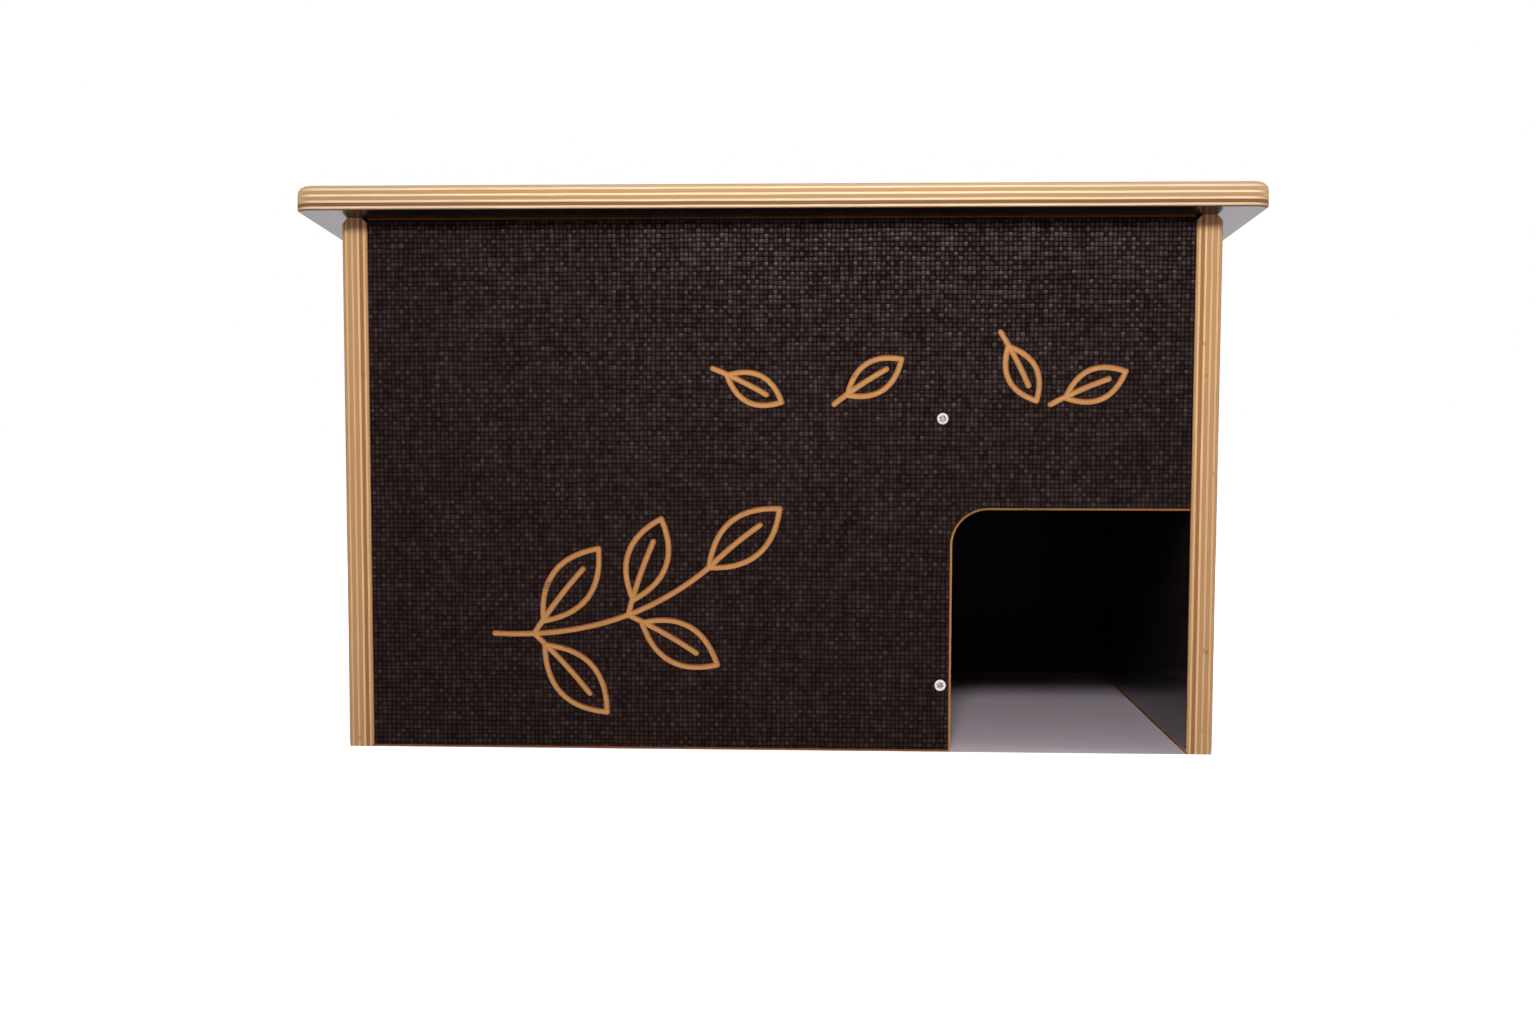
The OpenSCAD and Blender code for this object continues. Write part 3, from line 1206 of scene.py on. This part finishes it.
@dataclass(frozen=True)
class Lamp:
    """A flat oval lamp that looks at the house, in metres and watts."""

    name: str
    at: Point
    width: float
    height: float
    power: float
    reach: Reach = Reach.BOTH

    def build(self, target: Vector) -> None:
        """Hangs the lamp.

        Args:
            target: Point that the lamp looks at.
        """
        data = bpy.data.lights.new(self.name, "AREA")
        data.shape = "ELLIPSE"
        data.size = self.width
        data.size_y = self.height
        data.energy = self.power
        made = bpy.data.objects.new(self.name, data)
        made.location = self.at
        made.rotation_euler = (target - Vector(self.at)).to_track_quat("-Z", "Y").to_euler()
        made.visible_camera = False
        made.visible_diffuse = self.reach is not Reach.SHEEN
        made.visible_glossy = self.reach is not Reach.COLOUR
        bpy.context.scene.collection.objects.link(made)


@dataclass
class Studio:
    """Floor, light and camera of a plain product picture, in metres, degrees and picture pixels."""

    floor_reach: float = 9.0
    floor_colour: Colour = (0.56, 0.475, 0.54)
    floor_shade: float = 0.97
    floor_roughness: float = 0.85
    floor_unevenness: float = 0.1
    fibre_scale: float = 0.6
    fibre_detail: float = 3.0
    near_glow: float = 0.86
    glow_grows: Span = (0.9, 2.6)
    picture_width: float = 1536.0
    picture_height: float = 1024.0
    focal_pixels: float = 1832.0
    optical_axis: Flat = (720.0, 540.0)
    sensor_width: float = 36.0
    camera_at: Point = (0.0191, -1.1881, 0.1996)
    camera_turn: Point = (2.833, 4.444, 0.037)
    sky_colour: Colour = (1.0, 0.78, 0.62)
    sky_strength: float = 0.1
    lamps: tuple[Lamp, ...] = (
        Lamp("key_lamp", (0.05, -0.8, 0.54), 0.12, 0.12, 4.7, Reach.COLOUR),
        Lamp("strip_lamp", (0.14, -1.5, 0.72), 1.0, 0.24, 36.0, Reach.SHEEN),
        Lamp("top_lamp", (0.0, -0.5, 1.9), 1.6, 1.6, 6.0),
        Lamp("back_lamp", (0.0, 1.0, 0.75), 0.8, 0.8, 11.0, Reach.COLOUR),
        Lamp("left_lamp", (-1.7, -0.25, 0.8), 0.9, 0.9, 13.0, Reach.COLOUR),
        Lamp("right_lamp", (1.7, -0.25, 0.8), 0.9, 0.9, 13.0, Reach.COLOUR),
    )

    def build(self) -> None:
        """Builds the whole studio."""
        bpy.context.scene.view_settings.view_transform = "Standard"
        self.sky()
        self.floor()
        for lamp in self.lamps:
            lamp.build((CAD_BOX[0] + CAD_BOX[1]) / 2)
        self.camera()

    @staticmethod
    def seen(graph: Graph) -> Socket:
        """Tells what shows in the picture from what only lights it.

        Args:
            graph: Graph of a material or of the sky.

        Returns:
            1 for what the camera sees directly, in a reflection or through glass, and 0 elsewhere.
        """
        camera, glossy, through = (
            graph.node("ShaderNodeLightPath", output=name)
            for name in ("Is Camera Ray", "Is Glossy Ray", "Is Transmission Ray")
        )
        return camera.largest(glossy).largest(through)

    def sky(self) -> None:
        """Soft light from all sides in front of a white background."""
        world = bpy.data.worlds.new("studio_sky")
        world.use_nodes = True
        graph = Graph(world.node_tree)
        dim = {"Color": (*self.sky_colour, 1.0), "Strength": self.sky_strength}
        light = graph.node("ShaderNodeBackground", inputs=dim)
        white = graph.node("ShaderNodeBackground", inputs={"Color": (1, 1, 1, 1)})
        both = graph.node("ShaderNodeMixShader", inputs={0: self.seen(graph), 1: light, 2: white})
        graph.node("ShaderNodeOutputWorld", inputs={"Surface": both})
        bpy.context.scene.world = world

    def floor(self) -> None:
        """White floor round the house, and the same floor in shade inside it."""
        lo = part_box("left_side_panel")[0]
        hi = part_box("right_side_panel")[1]
        reach = self.floor_reach
        strips = (
            ((-reach, -reach), (reach, lo.y)),
            ((-reach, hi.y), (reach, reach)),
            ((-reach, lo.y), (lo.x, hi.y)),
            ((hi.x, lo.y), (reach, hi.y)),
        )
        for name, glow, areas in (
            ("floor_around", self.near_glow, strips),
            ("floor_inside", 0.0, (((lo.x, lo.y), (hi.x, hi.y)),)),
        ):
            shape = bmesh.new()
            for (x0, y0), (x1, y1) in areas:
                corners = ((x0, y0), (x1, y0), (x1, y1), (x0, y1))
                shape.faces.new([shape.verts.new((x, y, 0.0)) for x, y in corners])
            made = place_object(name, mesh_of(shape, name))
            dress(made, self.paper(name, glow))
            made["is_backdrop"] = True

    def paper(self, name: str, glow: float) -> bpy.types.Material:
        """White studio paper.

        Args:
            name: Name of the material.
            glow: Plain white that the camera sees near the house, besides the light on the paper.

        Returns:
            The material.
        """
        graph, material = Graph.of_material(name)
        place = graph.place()
        fibres = graph.noise(place, self.fibre_scale, self.fibre_detail)
        shaded = tuple(c * self.floor_shade for c in self.floor_colour)
        values = {
            "Base Color": graph.mix(fibres, shaded, self.floor_colour),
            "Roughness": self.floor_roughness + self.floor_unevenness * fibres,
            "Specular IOR Level": 0.0,
        }
        if glow:
            far = graph.length(place).step(*(distance / MM for distance in self.glow_grows))
            shown = self.seen(graph) * (glow + (1 - glow) * far)
            values |= {"Emission Color": graph.joined(shown, shown, shown), "Emission Strength": 1.0}
        graph.surface(values)
        return material

    def camera(self) -> None:
        """Camera at the place and with the lens that the picture was taken with."""
        data = bpy.data.cameras.new("camera")
        data.sensor_width = self.sensor_width
        data.lens = self.focal_pixels / self.picture_width * self.sensor_width
        data.shift_x = 0.5 - self.optical_axis[0] / self.picture_width
        data.shift_y = (self.optical_axis[1] - self.picture_height / 2) / self.picture_width
        yaw, pitch, roll = (math.radians(a) for a in self.camera_turn)
        level = Matrix.Rotation(math.pi / 2, 4, "X")
        turn = Matrix.Rotation(yaw, 4, "Z") @ Matrix.Rotation(-pitch, 4, "X") @ level
        made = bpy.data.objects.new("camera", data)
        made.matrix_world = Matrix.Translation(self.camera_at) @ turn @ Matrix.Rotation(roll, 4, "Z")
        bpy.context.scene.collection.objects.link(made)
        bpy.context.scene.camera = made


def write_sizes() -> None:
    """Gathers the boxes of the CAD model and of the dressed model as plain lists."""
    boxes = {"cad": CAD_BOX, "visual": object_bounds()}
    plain = {name: [list(corner) for corner in box] for name, box in boxes.items()}


def main() -> None:
    """Builds and dresses the house, then the studio round it."""
    logging.basicConfig(level=logging.INFO, format="%(name)s: %(message)s")
    walls = Walls()
    for name in walls.dress_boards():
        LOG.info("dressed %s", name)
    LOG.info("routed %s", walls.rout_front().name)
    LOG.info("dressed %s", Roof().dress_board())
    for name in Hinges().dress_hinges():
        LOG.info("dressed %s", name)
    for name in Screws().build():
        LOG.info("built %s", name)
    Studio().build()
    LOG.info("set up the studio")
    write_sizes()


if __name__ == "__main__":
    main()
